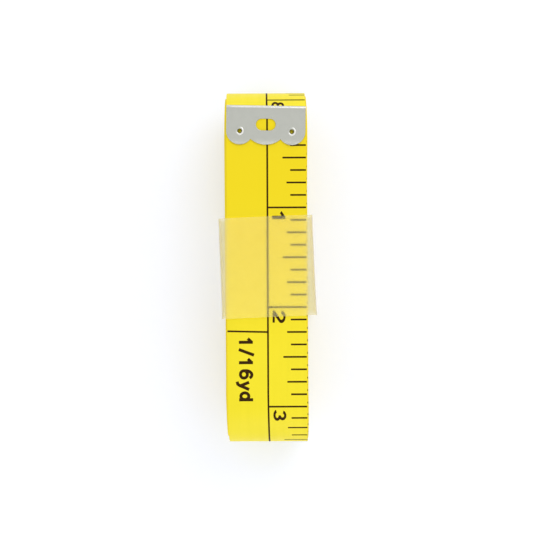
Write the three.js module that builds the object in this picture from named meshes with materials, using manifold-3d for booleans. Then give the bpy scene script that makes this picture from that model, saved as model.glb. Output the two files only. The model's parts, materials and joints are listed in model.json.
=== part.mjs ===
// Cloth tape measure: a coated ribbon wound into a flat hank, a folded metal tip riveted to each of its
// ends and a clear plastic sleeve round its middle. Millimetres, +Z up. The hank lies along Y with the
// ribbon's free end on top towards +Y, the ribbon is wide along X, and the origin is under the sleeve.
import * as THREE from "three";
import { mergeVertices } from "three/addons/utils/BufferGeometryUtils.js";
import Module from "manifold-3d";

const radians = THREE.MathUtils.degToRad;

// Ribbon and hank
const TAPE_LENGTH = 3048;
const TAPE_WIDTH = 20.4;
const TAPE_THICKNESS = 0.3;
const TURN_GAP = 0.42; // clear space between neighbouring turns
const HANK_LENGTH = 91.3;
const END_SETBACK = 5.1; // from the hank's +Y end back to the ribbon's outer end
const INNER_SETBACK = 7; // the inner end stops this far short of the far fold's centre
const CORE_LEAST = 1; // least radius of the innermost full fold
const FOLD_STEPS = 12; // facets in each half turn

// Free end: the stretch that lifts off the hank beside the sleeve
const FLEX_SETOFF = 1.3; // from the sleeve's edge to the line that the free end bends about
const FLEX_LIFT = 100; // degrees that it lifts
const FLEX_ROOM = 0.08; // more gap at that line than the lifted ribbon's corner needs

// Metal tips: one sheet folded over the end of the ribbon
const SHEET = 0.2;
const TIP_LENGTH = 10;
const TIP_INSET = 0.1; // the tip stops this far inside each edge of the ribbon
const TIP_SEAT = 0.03; // between the sheet and the face of the ribbon
const TIP_END_ROOM = 0.05; // between the ribbon's end and where the sheet starts to bend
const TIP_SKEW = -1.2; // degrees that the outer tip sits askew on the ribbon
const SIDE_LOBE = 3.45; // radius of the outer scallops, round the eyelets
const MIDDLE_LOBE = 5.9; // radius of the scallop between them
const SLOT_WIDTH = 5.05;
const SLOT_HEIGHT = 3;
const SLOT_SETBACK = 4.85; // from the fold to the slot's centre

// Eyelets: tubular rivets through both sides of a tip and the ribbon
const EYELET_BORE = 1.1;
const EYELET_WALL = 0.15;
const EYELET_FLANGE = 2.2;
const FLANGE_THICKNESS = 0.12;
const FLANGE_ROUND = 0.05;
const EYELET_FIT = 0.05; // round the barrel and under the flanges

// Sleeve: a flat tube of clear film, slightly askew on the hank
const SLEEVE_LENGTH = 25.6;
const SLEEVE_WALL = 0.25;
const SLEEVE_CLEAR = 0.3; // over and under the hank
const SLEEVE_SIDE_ROOM = 0.1; // flat film past the ribbon's nearest corner
const SLEEVE_CORNER = 0.5; // inside radius, where the film turns down
const SLEEVE_BULGE = 0.5; // how far the sides bow out at half height
const SLEEVE_SKEW = 1.9; // degrees
const SLEEVE_SHIFT = 0.35; // how far the sleeve sits off the ribbon's middle, towards +X

const ROUND_STEPS = 16; // facets round an eyelet or a rivet hole
const CURVE_STEPS = 6; // facets in each curve of an outline
const WELD = 1e-4; // vertices closer than this are one
const PITCH = TAPE_THICKNESS + TURN_GAP;
const FLEX_GAP = TAPE_THICKNESS * Math.tan(radians(FLEX_LIFT / 2)) + FLEX_ROOM;
const TIP_WIDTH = TAPE_WIDTH - 2 * TIP_INSET;
const TIP_HALF = TAPE_THICKNESS / 2 + TIP_SEAT + SHEET; // half the thickness of a fitted tip
const TIP_BEND_Y = TIP_END_ROOM + (TAPE_WIDTH / 2) * Math.sin(radians(Math.abs(TIP_SKEW)));
const TIP_FOLD_Y = TIP_BEND_Y + TIP_HALF; // outside of the fold, past the ribbon's end
const EYELET_X = TIP_WIDTH / 2 - SIDE_LOBE;
const EYELET_Y = TIP_FOLD_Y - TIP_LENGTH + SIDE_LOBE;
const RIVET_HOLE = EYELET_BORE / 2 + EYELET_WALL + EYELET_FIT; // radius
const HANK_BASE = SLEEVE_WALL + SLEEVE_CLEAR;

const wasm = await Module();
wasm.setup();

const tapeYellow = new THREE.MeshStandardMaterial({ color: 0xf8e22c, roughness: 0.55, metalness: 0 });
const tipMetal = new THREE.MeshStandardMaterial({ color: 0xc2c3bb, roughness: 0.42, metalness: 1 });
const eyeletMetal = new THREE.MeshStandardMaterial({ color: 0xd8d8d4, roughness: 0.3, metalness: 1 });
const sleeveFilm = new THREE.MeshStandardMaterial({
  color: 0xeee6d2,
  roughness: 0.4,
  metalness: 0,
  transparent: true,
  opacity: 0.5,
});

function solidOf(geometry) {
  const bare = geometry.clone();
  bare.deleteAttribute("normal");
  bare.deleteAttribute("uv");
  const welded = mergeVertices(bare, WELD);
  return new wasm.Manifold(
    new wasm.Mesh({
      numProp: 3,
      vertProperties: new Float32Array(welded.attributes.position.array),
      triVerts: new Uint32Array(welded.index.array),
    }),
  );
}

function geometryOf(solid) {
  const mesh = solid.getMesh();
  const geometry = new THREE.BufferGeometry();
  geometry.setAttribute("position", new THREE.BufferAttribute(new Float32Array(mesh.vertProperties), 3));
  geometry.setIndex(new THREE.BufferAttribute(new Uint32Array(mesh.triVerts), 1));
  geometry.computeVertexNormals();
  return geometry;
}

function named(name, geometry, material) {
  const mesh = new THREE.Mesh(geometry, material);
  mesh.name = name;
  return mesh;
}

// A flat shape made thick about its own plane.
function slab(shape, thickness, curveSegments = CURVE_STEPS) {
  const geometry = new THREE.ExtrudeGeometry(shape, { depth: thickness, bevelEnabled: false, curveSegments });
  geometry.translate(0, 0, -thickness / 2);
  return geometry;
}

// Where the two rivets of a tip cross the ribbon, with the ribbon's end at the origin and the ribbon at -Y.
function rivetPlaces(skew) {
  const ribbonEnd = new THREE.Vector2(0, 0);
  const places = [-1, 1].map((side) => new THREE.Vector2(side * EYELET_X, EYELET_Y));
  return places.map((place) => place.rotateAround(ribbonEnd, radians(skew)));
}

// The hank's folds and runs, for a number of half turns and the radius of the innermost full one. Even folds
// lie at the plain end, -Y, and odd ones under the tip. The last fold turns the inner end into the core.
function layOut(folds, core) {
  const radii = [];
  for (let k = 0; k < folds - 1; k += 1) {
    radii.push(core + ((folds - 2 - k) * PITCH) / 2);
  }
  radii.push(core / 2);
  const half = (HANK_LENGTH - TAPE_THICKNESS) / 2;
  const plainY = radii[0] - half;
  const tipY = half - radii[1];
  const endY = HANK_LENGTH / 2 - END_SETBACK;
  const straight = tipY - plainY;
  const round = radii.reduce((sum, radius) => sum + Math.PI * radius, 0);
  const length = endY - plainY + round + folds * straight - INNER_SETBACK;
  return { radii, plainY, tipY, endY, straight, length };
}

// The length of ribbon grows evenly with the core's radius, which is worked out from two tries.
function coreFor(folds) {
  const bare = layOut(folds, 0).length;
  return (TAPE_LENGTH - bare) / (layOut(folds, 1).length - bare);
}

// As many half turns as the ribbon's length fills while the core stays open.
function windHank() {
  let folds = 2;
  while (coreFor(folds + 1) >= CORE_LEAST) {
    folds += 1;
  }
  const hank = layOut(folds, coreFor(folds));
  hank.thickness = 2 * hank.radii[0] + TAPE_THICKNESS;
  hank.topZ = HANK_BASE + hank.thickness - TAPE_THICKNESS / 2;
  return hank;
}

// The middle of the ribbon from startY on the top run to its inner end: points with their outward direction.
function ribbonPath(hank, startY) {
  const path = [{ y: startY, z: hank.topZ, outY: 0, outZ: 1 }];
  let z = hank.topZ;
  hank.radii.forEach((radius, k) => {
    const centreY = k % 2 ? hank.tipY : hank.plainY;
    const down = k % 2 ? -1 : 1;
    const centreZ = z - down * radius;
    for (let step = 0; step <= FOLD_STEPS; step += 1) {
      const angle = Math.PI * (0.5 + k + step / FOLD_STEPS);
      const outY = Math.cos(angle);
      const outZ = Math.sin(angle);
      path.push({ y: centreY + radius * outY, z: centreZ + radius * outZ, outY, outZ });
    }
    z -= 2 * down * radius;
  });
  const last = path[path.length - 1];
  const heading = hank.radii.length % 2 ? 1 : -1;
  path.push({ ...last, y: last.y + heading * (hank.straight - INNER_SETBACK) });
  return path;
}

// Least clear space between parts of the ribbon that are half a turn or more apart.
function leastGap(path) {
  let least = Infinity;
  const point = new THREE.Vector3();
  const nearest = new THREE.Vector3();
  const line = new THREE.Line3();
  for (let i = 0; i < path.length; i += 1) {
    point.set(0, path[i].y, path[i].z);
    for (let j = 0; j + 1 < path.length; j += 1) {
      if (Math.abs(j - i) < FOLD_STEPS) {
        continue;
      }
      line.start.set(0, path[j].y, path[j].z);
      line.end.set(0, path[j + 1].y, path[j + 1].z);
      line.closestPointToPoint(point, true, nearest);
      least = Math.min(least, nearest.distanceTo(point) - TAPE_THICKNESS);
    }
  }
  return least;
}

// The wound ribbon: its edge-on outline made as wide as the ribbon, with rivet holes at the inner end.
function woundTape(path, innerEnd) {
  const half = TAPE_THICKNESS / 2;
  const side = (way) => path.map((p) => new THREE.Vector2(p.y + way * half * p.outY, p.z + way * half * p.outZ));
  const outline = new THREE.Shape([...side(1), ...side(-1).reverse()]);
  const wound = slab(outline, TAPE_WIDTH);
  wound.applyQuaternion(new THREE.Quaternion(0.5, 0.5, 0.5, 0.5)); // outline x, y and depth become Y, Z and X
  let solid = solidOf(wound);
  for (const place of rivetPlaces(0)) {
    const hole = new THREE.CylinderGeometry(RIVET_HOLE, RIVET_HOLE, 2 * TIP_HALF, ROUND_STEPS);
    hole.rotateX(Math.PI / 2);
    hole.translate(place.x, innerEnd.y + innerEnd.heading * place.y, innerEnd.z);
    solid = solid.subtract(solidOf(hole));
  }
  return geometryOf(solid);
}

// The flat stretch of ribbon from the flex line, at the origin, to the outer end.
function freeEnd(reach) {
  const half = TAPE_WIDTH / 2;
  const root = FLEX_GAP / 2;
  const outline = new THREE.Shape();
  outline.moveTo(-half, root);
  outline.lineTo(half, root);
  outline.lineTo(half, reach);
  outline.lineTo(-half, reach);
  outline.closePath();
  for (const place of rivetPlaces(TIP_SKEW)) {
    outline.holes.push(new THREE.Path().absarc(place.x, reach + place.y, RIVET_HOLE, 0, 2 * Math.PI, true));
  }
  return slab(outline, TAPE_THICKNESS, ROUND_STEPS);
}

// Plan of a tip: straight across the fold, with three scallops along the other edge.
function tipPlan() {
  const half = TIP_WIDTH / 2;
  const foot = TIP_FOLD_Y - TIP_LENGTH;
  const spread = EYELET_X;
  const rise = MIDDLE_LOBE - SIDE_LOBE;
  // Both circles stand on the foot line, and they cross where x = spread / 2 + rise * y / spread.
  const a = (rise / spread) ** 2 + 1;
  const b = rise - 2 * MIDDLE_LOBE;
  const c = (spread / 2) ** 2;
  const cuspY = (-b - Math.sqrt(b * b - 4 * a * c)) / (2 * a);
  const cuspX = spread / 2 + (rise * cuspY) / spread;
  const onSide = Math.atan2(cuspY - SIDE_LOBE, cuspX - spread);
  const onMiddle = Math.atan2(cuspY - MIDDLE_LOBE, cuspX);
  const plan = new THREE.Shape();
  plan.moveTo(half, TIP_FOLD_Y);
  plan.lineTo(-half, TIP_FOLD_Y);
  plan.absarc(-spread, foot + SIDE_LOBE, SIDE_LOBE, Math.PI, 3 * Math.PI - onSide, false);
  plan.absarc(0, foot + MIDDLE_LOBE, MIDDLE_LOBE, -Math.PI - onMiddle, onMiddle, false);
  plan.absarc(spread, foot + SIDE_LOBE, SIDE_LOBE, onSide, 0, false);
  plan.closePath();
  return plan;
}

function tipSlot() {
  const end = (SLOT_WIDTH - SLOT_HEIGHT) / 2;
  const y = TIP_FOLD_Y - SLOT_SETBACK;
  const slot = new THREE.Shape();
  slot.absarc(end, y, SLOT_HEIGHT / 2, -Math.PI / 2, Math.PI / 2, false);
  slot.absarc(-end, y, SLOT_HEIGHT / 2, Math.PI / 2, (3 * Math.PI) / 2, false);
  slot.closePath();
  return slot;
}

// A sheet folded over the ribbon's end, which is at the origin with the ribbon towards -Y.
function foldedTip() {
  const inside = TIP_HALF - SHEET;
  const back = TIP_FOLD_Y - TIP_LENGTH - SIDE_LOBE; // past the scallops, which cut it back
  const profile = new THREE.Shape();
  profile.moveTo(back, -TIP_HALF);
  profile.lineTo(TIP_BEND_Y, -TIP_HALF);
  profile.absarc(TIP_BEND_Y, 0, TIP_HALF, -Math.PI / 2, Math.PI / 2, false);
  profile.lineTo(back, TIP_HALF);
  profile.lineTo(back, inside);
  profile.lineTo(TIP_BEND_Y, inside);
  profile.absarc(TIP_BEND_Y, 0, inside, Math.PI / 2, -Math.PI / 2, true);
  profile.lineTo(back, -inside);
  profile.closePath();
  const folded = slab(profile, TAPE_WIDTH);
  folded.applyQuaternion(new THREE.Quaternion(0.5, 0.5, 0.5, 0.5));
  const depth = 4 * TIP_HALF; // well through both sides
  let solid = solidOf(folded).intersect(solidOf(slab(tipPlan(), depth)));
  solid = solid.subtract(solidOf(slab(tipSlot(), depth)));
  for (const place of rivetPlaces(0)) {
    const hole = new THREE.CylinderGeometry(RIVET_HOLE, RIVET_HOLE, depth, ROUND_STEPS);
    hole.rotateX(Math.PI / 2);
    hole.translate(place.x, place.y, 0);
    solid = solid.subtract(solidOf(hole));
  }
  return geometryOf(solid);
}

// A barrel with a flange turned over on each side of the tip, its axis along Z.
function eyelet() {
  const bore = EYELET_BORE / 2;
  const barrel = bore + EYELET_WALL;
  const rim = EYELET_FLANGE / 2;
  const seat = TIP_HALF + EYELET_FIT;
  const face = seat + FLANGE_THICKNESS;
  const upper = [
    [barrel, seat],
    [rim, seat],
    [rim, face - FLANGE_ROUND],
    [rim - FLANGE_ROUND, face],
    [bore + FLANGE_ROUND, face],
    [bore, face - FLANGE_ROUND],
  ];
  const lower = upper.map(([r, z]) => [r, -z]).reverse();
  const profile = [...lower, ...upper, lower[0]].map(([r, z]) => new THREE.Vector2(r, z));
  const turned = new THREE.LatheGeometry(profile, ROUND_STEPS);
  turned.rotateX(Math.PI / 2);
  return turned;
}

// A tip with its two eyelets, the ribbon's end at the group's origin.
function tipWithEyelets(name, skew) {
  const group = new THREE.Group();
  group.rotation.z = radians(skew);
  group.add(named(name, foldedTip(), tipMetal));
  const sides = ["left", "right"];
  rivetPlaces(0).forEach((place, i) => {
    const rivet = named(`${name}_eyelet_${sides[i]}`, eyelet(), eyeletMetal);
    rivet.position.set(place.x, place.y, 0);
    group.add(rivet);
  });
  return group;
}

// How far the askew sleeve's corners reach along Y, and how far its skew brings the ribbon across.
const skewAcross = (SLEEVE_LENGTH / 2) * Math.sin(radians(SLEEVE_SKEW));
const sleeveInside = TAPE_WIDTH / 2 + SLEEVE_SHIFT + skewAcross + SLEEVE_SIDE_ROOM + SLEEVE_CORNER;
const sleeveOutside = sleeveInside + SLEEVE_WALL + SLEEVE_BULGE;
const sleeveReach =
  (SLEEVE_LENGTH / 2) * Math.cos(radians(SLEEVE_SKEW)) + sleeveOutside * Math.sin(radians(SLEEVE_SKEW));

// Section of the sleeve's inner face, moved out by offset: flat top and bottom, bowed sides, round corners.
function sleeveSection(kind, halfHeight, offset) {
  const a = sleeveInside + offset;
  const b = halfHeight + offset;
  const r = SLEEVE_CORNER + offset;
  const section = new kind();
  section.moveTo(-a + r, -b);
  section.lineTo(a - r, -b);
  section.absarc(a - r, -b + r, r, -Math.PI / 2, 0, false);
  section.quadraticCurveTo(a + 2 * SLEEVE_BULGE, 0, a, b - r);
  section.absarc(a - r, b - r, r, 0, Math.PI / 2, false);
  section.lineTo(-a + r, b);
  section.absarc(-a + r, b - r, r, Math.PI / 2, Math.PI, false);
  section.quadraticCurveTo(-a - 2 * SLEEVE_BULGE, 0, -a, -b + r);
  section.absarc(-a + r, -b + r, r, Math.PI, (3 * Math.PI) / 2, false);
  section.closePath();
  return section;
}

function sleeve(hank) {
  const halfHeight = hank.thickness / 2 + SLEEVE_CLEAR;
  const section = sleeveSection(THREE.Shape, halfHeight, SLEEVE_WALL);
  section.holes.push(sleeveSection(THREE.Path, halfHeight, 0));
  const tube = slab(section, SLEEVE_LENGTH);
  tube.rotateX(Math.PI / 2);
  tube.translate(0, 0, halfHeight + SLEEVE_WALL);
  const mesh = named("sleeve", tube, sleeveFilm);
  mesh.rotation.z = radians(SLEEVE_SKEW);
  return mesh;
}

function tapeMeasure() {
  const hank = windHank();
  const flexY = sleeveReach + FLEX_SETOFF;
  const path = ribbonPath(hank, flexY - FLEX_GAP / 2);
  const last = path[path.length - 1];
  const innerEnd = { y: last.y, z: last.z, heading: Math.sign(last.y - path[path.length - 2].y) };
  console.log(`${hank.radii.length} folds, hank ${hank.thickness.toFixed(2)} mm thick`);
  console.log(`least gap between turns ${leastGap(path).toFixed(3)} mm`);

  const ribbon = new THREE.Group();
  ribbon.position.x = -SLEEVE_SHIFT;
  ribbon.add(named("wound_tape", woundTape(path, innerEnd), tapeYellow));

  const innerTip = tipWithEyelets("inner_tip", innerEnd.heading > 0 ? 0 : 180);
  innerTip.position.set(0, innerEnd.y, innerEnd.z);
  ribbon.add(innerTip);

  const lifting = new THREE.Group();
  lifting.position.set(0, flexY, hank.topZ);
  lifting.add(named("tape_free_end", freeEnd(hank.endY - flexY), tapeYellow));
  const outerTip = tipWithEyelets("outer_tip", TIP_SKEW);
  outerTip.position.y = hank.endY - flexY;
  lifting.add(outerTip);
  ribbon.add(lifting);

  const group = new THREE.Group();
  group.add(ribbon, sleeve(hank));
  return group;
}

const tapeMeasureGroup = tapeMeasure();

export default tapeMeasureGroup;
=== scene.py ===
"""Cloth tape measure: the looks of the wound tape, its printed scale, metal tips, eyelets and film sleeve.

Everything is in metres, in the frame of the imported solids: the hank lies along Y with its outer tip towards
+Y, the printed face looks up along +Z, and the tape is wide along X.
"""

import bisect
import json
import math

import bmesh
import bpy
from bpy.props import FloatProperty, FloatVectorProperty, IntProperty, PointerProperty
from mathutils import Matrix, Vector


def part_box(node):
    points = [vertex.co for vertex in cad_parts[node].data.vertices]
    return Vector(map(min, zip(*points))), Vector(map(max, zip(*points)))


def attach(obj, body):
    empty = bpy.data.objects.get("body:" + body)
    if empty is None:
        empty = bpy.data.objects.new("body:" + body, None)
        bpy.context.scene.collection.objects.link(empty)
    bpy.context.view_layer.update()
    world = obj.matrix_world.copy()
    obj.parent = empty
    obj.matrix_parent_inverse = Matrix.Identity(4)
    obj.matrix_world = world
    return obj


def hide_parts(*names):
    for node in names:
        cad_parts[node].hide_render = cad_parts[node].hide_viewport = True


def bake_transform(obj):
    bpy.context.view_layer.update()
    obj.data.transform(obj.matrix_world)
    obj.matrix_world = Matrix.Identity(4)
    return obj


bl_info = {
    "name": "Cloth Tape Measure",
    "version": (1, 0, 0),
    "blender": (4, 5, 0),
    "location": "View3D > Sidebar > Tape Measure",
    "description": "Dresses the solids of a wound tape measure with cloth, print, metal and film",
    "category": "Object",
}

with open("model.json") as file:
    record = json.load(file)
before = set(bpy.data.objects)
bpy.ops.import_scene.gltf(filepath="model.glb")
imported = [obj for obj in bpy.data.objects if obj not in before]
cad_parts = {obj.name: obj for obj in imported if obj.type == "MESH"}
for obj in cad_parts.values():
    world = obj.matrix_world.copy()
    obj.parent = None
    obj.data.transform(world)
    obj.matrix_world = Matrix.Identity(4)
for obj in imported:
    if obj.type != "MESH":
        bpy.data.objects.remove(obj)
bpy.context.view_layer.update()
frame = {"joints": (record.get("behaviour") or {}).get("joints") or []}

MM = 0.001
INCH = 25.4 * MM
EIGHTHS = 8  # ticks to the inch
YARD_PARTS = 16  # yard lines to the yard
YARD_PART = 36 * INCH / YARD_PARTS
WARP, WEFT = 0.5 * MM, 0.6 * MM  # from one thread of the cloth to the next
PRESSED = 11 * MM  # how much of the tape a tip presses thinner
PRESSED_RAMP = 8 * MM  # over which the tape gets its full thickness again
COVERED = 0.3 * INCH  # has no ticks, because it lies under a tip, where the eyelets go through
RUN_WANDER, BOW_WANDER, FOLD_WANDER = 0.9, 1.7, 2.3  # radians from one turn's wander to the next
FOLD_STEPS = 36  # facets in a half turn of the tape
RUN_STEP = 6 * MM  # longest facet of a straight run
FINE_STEP = 0.25 * MM  # longest facet of the print, and of the tape where the free end bends
PRESSED_STEPS = 8  # facets in the ramp of the pressed tape
TAPE_COLUMNS, BENT_COLUMNS = 4, 4  # facets across the tape, and across a mark that bends
TIP_STEPS, BEAD_STEPS, SPRUNG_STEPS = 16, 10, 6  # facets in a tip's fold, bead and sprung edge
BEAD_REACH = 2.5  # how far the bead's facets go, to its spread
EYELET_STEPS, WAIST_STEPS = 48, 4  # facets round an eyelet, and down its waist
FILM_STEPS, FLAT_STEPS, BOW_STEPS = 24, 6, 12  # facets along the film, across its flats and down its sides
FILM_WAVES = 3  # round the ends of the film
ARC_STEP = 12  # degrees between the points of an arc
MITRE = 0.4  # keeps the sharp corners of a stroke short
CLOSED = 1e-6  # a stroke whose ends are as near as this is a ring
NEAR = 0.01 * MM  # stations as near as this to an end are left out
WELD = 0.001  # points of a plate as near as this are one, in millimetres
ON_CUT = 1e-7  # points as near as this to a cut lie on it
SMOOTH_ANGLE = math.radians(38)
FLAT_ANGLE = math.radians(0.5)  # faces that meet flatter than this are one
CLOTH_FLAT, SHEET_FLAT = 0.9, 0.5  # faces that look up or down by less are cut edges
FACE_SLOT, EDGE_SLOT, FOLD_SLOT = 0, 1, 2  # material slots of the tape and the tips
TAPE_PLACE = "tape_place"  # attribute: across and along the tape, in metres
HIGHLIGHT_SHARE = "rubbed"  # attribute: how far an eyelet's lip stands proud, and how much painted highlight it takes, from 0 to 1


# Settings


def numbers(defaults, **details):
    """A setting of one number or of several."""
    if len(defaults) == 1:
        return FloatProperty(default=defaults[0], **details)
    return FloatVectorProperty(default=defaults, size=len(defaults), **details)


def millimetres(name, description, *defaults):
    """A length or several, with defaults in millimetres."""
    lengths = [default * MM for default in defaults]
    return numbers(lengths, name=name, description=description, unit="LENGTH", precision=6)


def degrees(name, description, *defaults):
    """An angle or several, with defaults in degrees."""
    angles = [math.radians(default) for default in defaults]
    return numbers(angles, name=name, description=description, unit="ROTATION")


def ratio(name, description, default):
    """A plain number."""
    return numbers([default], name=name, description=description, min=0)


def share_of(name, description, default):
    """A number from 0 to 1."""
    return numbers([default], name=name, description=description, min=0, max=1, subtype="FACTOR")


def watts(name, description, default):
    """A lamp's power."""
    return numbers([default], name=name, description=description, min=0, unit="POWER")


def colour_of(name, description, *default):
    """A colour, with its default as linear red, green and blue."""
    return numbers(default, name=name, description=description, subtype="COLOR")


class TapeSettings(bpy.types.PropertyGroup):
    """The ribbon and how it is wound."""

    length: millimetres("Length", "Of the whole tape", 3048)
    folds: IntProperty(name="Folds", description="Half turns in the hank", default=34, min=4)
    pitch: millimetres("Pitch", "From one turn to the next", 0.72)
    thickness: millimetres("Thickness", "Of the coated cloth", 0.42)
    seated: millimetres("Seated Thickness", "Of the cloth where a tip presses it", 0.32)
    rim: millimetres("Rim", "Radius of the cut edges", 0.1)
    first_runs: millimetres(
        "First Runs", "How far the outer runs lie off the hank's middle", 0, 0.5, 0.235, -0.08, -0.03
    )
    first_yaws: degrees("First Yaws", "How far the outer runs are turned", 0, 0, 0.12, 0, -0.65)
    first_folds: millimetres(
        "First Folds", "How far the outer folds sway off their runs", 0.13, -0.41, 0.24, -0.05, 0.28
    )
    stagger: millimetres("Stagger", "How far the inner runs wander sideways", 0.28)
    settle: millimetres("Settle", "How far the inner runs lie to the left", 0.25)
    tuck: millimetres("Tuck", "How far the inner folds sway to the right", 0.22)
    yaw: degrees("Yaw", "How far the inner runs are turned", 0.2)
    billow: millimetres("Billow", "How far the inner runs bow out of line", 0.1)
    puff: millimetres("Puff", "How far the folds bulge out", 0.08)
    seam: millimetres("Seam", "Where the free end's mesh starts, under the sleeve", 8)
    bend_lead: millimetres("Bend Lead", "How far before the joint the bend starts", 1.2)
    bend: millimetres("Bend", "Length of tape that bends when the free end lifts", 5)
    yellow: colour_of("Yellow", "Coating", 1.0, 0.84, 0.021)
    deep_yellow: colour_of("Deep Yellow", "Streaks", 0.86, 0.74, 0.012)
    # Painted shade: the tape's first 20 mm from its outer end take this darker yellow, fading out by 65 mm.
    handled_yellow: colour_of("Handled Yellow", "Coating that hands have dulled", 0.92, 0.72, 0.002)
    # Painted shade: the cut edges lean to this deeper orange.
    edge_yellow: colour_of("Edge Yellow", "Cut edges", 0.96, 0.71, 0.012)


class ScaleSettings(bpy.types.PropertyGroup):
    """The printed scale."""

    reach: millimetres("Reach", "Printed this far from the outer end", 13 * INCH / MM)
    zero: millimetres("Zero", "The scale starts this far past the cloth's end, in the tip's fold", 0.07)
    slack: millimetres("Slack", "Extra tape in the first turn, which the underside's run takes up", 4.33)
    height: millimetres("Ink", "Height of the ink", 0.012)
    line: millimetres("Line", "Width of the lines", 0.44)
    middle: millimetres("Middle Line", "How far the long line lies off the tape's middle", 0.23)
    margin: millimetres("Margin", "From a mark to the tape's edge", 0.1)
    eighth: millimetres("Eighth", "Length of the eighth inch ticks", 4.03)
    quarter: millimetres("Quarter", "Length of the quarter inch ticks", 4.98)
    half: millimetres("Half", "Length of the half inch ticks", 5.98)
    numeral: millimetres("Numeral", "Height of the inch numerals", 3.35)
    numeral_base: millimetres("Numeral Base", "From the tape's middle to the inch numerals' foot", 1.4)
    numeral_lead: millimetres("Numeral Lead", "From a line to its numeral", 0.43)
    numeral_weight: millimetres("Numeral Weight", "Stroke of the inch numerals before they stretch", 0.56)
    numeral_stretch: ratio("Numeral Stretch", "Width of the inch numerals to that of the plain ones", 1.5)
    label: millimetres("Label", "Height of the yard labels", 3.55)
    label_base: millimetres("Label Base", "From the tape's middle to the yard labels' foot", -7.2)
    label_lead: millimetres("Label Lead", "From a line to its yard label", 1.15)
    label_weight: millimetres("Label Weight", "Stroke of the yard labels before they stretch", 0.75)
    label_stretch: ratio("Label Stretch", "Width of the yard labels to that of the plain letters", 1.03)
    yard_lean: millimetres("Yard Lean", "How far the outer end of a yard line lies ahead", 0.25)
    ink: colour_of("Ink Colour", "Print", 0.031, 0.013, 0.002)


class TipSettings(bpy.types.PropertyGroup):
    """The folded metal tips and their eyelets."""

    sheet: millimetres("Sheet", "Thickness of the metal", 0.2)
    seat: millimetres("Seat", "Between metal and cloth", 0.03)
    rim: millimetres("Rim", "Radius of the cut edges", 0.07)
    bead: millimetres("Bead", "How far the fold stands out", 0.12)
    bead_lead: millimetres("Bead Lead", "From the end of the fold's curve to the crest of its bead", 0.25)
    bead_spread: millimetres("Bead Spread", "How far the bead spreads from its crest", 0.45)
    spring: millimetres("Spring", "How far the scallops stand off the cloth", 0.2)
    sprung: millimetres("Sprung", "How much of the scallops stands off the cloth", 1.8)
    skew: degrees("Skew", "How far the outer tip is turned", -1.2)
    length: millimetres("Length", "From the fold to the scallops", 10)
    bend: millimetres("Bend", "From the cloth's end to where the sheet starts to bend", 0.2636)
    inset: millimetres("Inset", "From the tape's edge", 0.1)
    side_lobe: millimetres("Side Lobe", "Radius of the outer scallops", 3.45)
    middle_lobe: millimetres("Middle Lobe", "Radius of the middle scallop", 5.9)
    slot_width: millimetres("Slot Width", "Across the tape", 5.05)
    slot_height: millimetres("Slot Height", "Along the tape", 3)
    slot_setback: millimetres("Slot Setback", "From the fold to the slot's middle", 4.85)
    bore: millimetres("Bore", "Radius of the eyelets' bore", 0.6)
    throat: millimetres("Throat", "Radius of the bore's waist", 0.4)
    waist: share_of("Waist", "How much of the eyelets' height the waist takes", 0.6)
    barrel: millimetres("Barrel", "Radius of the eyelets' barrel", 0.72)
    flange: millimetres("Flange", "Radius of the eyelets' lip", 1.1)
    lip: millimetres("Lip", "Height of the eyelets' lip", 0.19)
    struck: degrees("Struck Side", "Where round an eyelet the setting tool pressed its lip flat", 140)
    struck_lip: share_of("Struck Lip", "Height of the lip there, to that of the rest", 0.35)
    metal: colour_of("Metal", "Satin plating", 0.515, 0.525, 0.48)
    # Painted highlight: the fold and its bead take this lighter metal, for the bright band that the fold
    # reflects.
    rubbed_metal: colour_of("Rubbed Metal", "Fold, rubbed bright", 0.62, 0.625, 0.6)
    cut_metal: colour_of("Cut Metal", "The sheet's cut rim", 0.2, 0.19, 0.17)
    # Painted highlight: an eyelet's lip goes from the plate's grey on its struck side to this lighter metal
    # where it stands proud.
    bright: colour_of("Bright Metal", "Eyelets", 0.8, 0.8, 0.77)


class SleeveSettings(bpy.types.PropertyGroup):
    """The film sleeve."""

    wall: millimetres("Wall", "Thickness of the film", 0.25)
    skew: degrees("Skew", "How far the sleeve is turned", 1.9)
    corner: millimetres("Corner", "Inside radius where the film turns down", 0.75)
    bulge: millimetres("Bulge", "How far the sides bow out", 0.35)
    slip: millimetres("Slip", "How far the film lies off the middle of its solid", -0.2, 0.11, 0)
    twist: degrees("Twist", "How much further than its solid the film is turned", 0.32)
    taper: millimetres("Taper", "How far the film draws in towards the tip", 0.0887)
    flare: millimetres("Flare", "How far the film waves out at its ends", 0.12)
    haze: share_of("Haze", "Share of light that one face of the film scatters", 0.285)
    edge_haze: share_of("Edge Haze", "How much more of it the film scatters where it is seen edge on", 0.7)
    back: share_of("Back", "Share of the scattered light that comes back", 0.21)
    film: colour_of("Film", "Milky film", 1.0, 0.985, 0.72)
    deep_film: colour_of("Deep Film", "Film seen edge on", 0.86, 0.85, 0.83)


class StageSettings(bpy.types.PropertyGroup):
    """The camera, the light and the floor."""

    height: millimetres("Camera Height", "Above the tape's printed face", 407.8)
    across: millimetres("View", "Width of the view at the printed face", 136.35)
    roll: degrees("Roll", "How far the camera is turned", -0.26)
    aim: millimetres("Aim", "What the camera looks down on", -0.17, -0.07)
    key: watts("Key", "Lamp above the tip", 1.4)
    fill: watts("Fill", "Low lamp at the plain end", 0.15)
    floor: colour_of("Floor", "Pale floor", 0.67, 0.7, 0.8)


def settings(group):
    """One of this add-on's groups of settings."""
    return getattr(bpy.context.scene, f"tape_measure_{group}")


def smooth_step(share):
    """0 to 1 with a soft start and a soft end."""
    share = min(max(share, 0), 1)
    return share * share * (3 - 2 * share)


def evenly(start, end, steps):
    """Numbers from start to end, in even steps."""
    return [start + (end - start) * i / steps for i in range(steps + 1)]


# Finishes


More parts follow.
